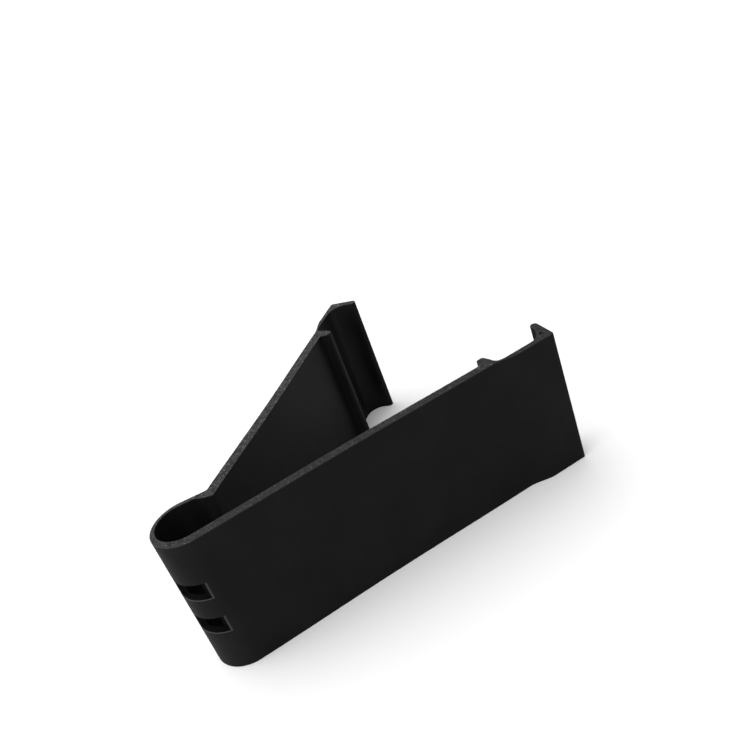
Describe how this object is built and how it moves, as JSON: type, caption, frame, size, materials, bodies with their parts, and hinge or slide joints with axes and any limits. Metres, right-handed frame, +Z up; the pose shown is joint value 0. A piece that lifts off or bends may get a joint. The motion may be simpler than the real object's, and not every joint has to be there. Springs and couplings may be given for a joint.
{
  "type": "phone stand",
  "caption": "Springy V-shaped clip cut from one plastic profile: two hooked walls grip a phone by its long edges and a round loop props it up from behind.",
  "frame": {"origin": "middle of the footprint's bounding box, on the cut end that the part stands on", "axes": "+Z up along the extrusion; +Y from the spring loop towards the phone; +X towards the long wall"},
  "size_m": [0.0746, 0.0914, 0.035],
  "materials": {
    "black_plastic": "matte as extruded, with paler saw-cut ends"
  },
  "bodies": {
    "long_side": {"spring_loop": "black_plastic", "long_wall": "black_plastic", "long_grip": "black_plastic", "long_barb": "black_plastic"},
    "short_side": {"flex_web": "black_plastic", "short_wall": "black_plastic", "short_grip": "black_plastic", "short_barb": "black_plastic"}
  },
  "joints": [
    {"name": "loop_flex", "type": "hinge", "parent": "long_side", "child": "short_side", "pos_m": [-0.00701, -0.03807, 0.0175], "axis": [0, 0, 1], "range_deg": [-6, 8], "stiffness_Nm_per_rad": 0.8}
  ]
}
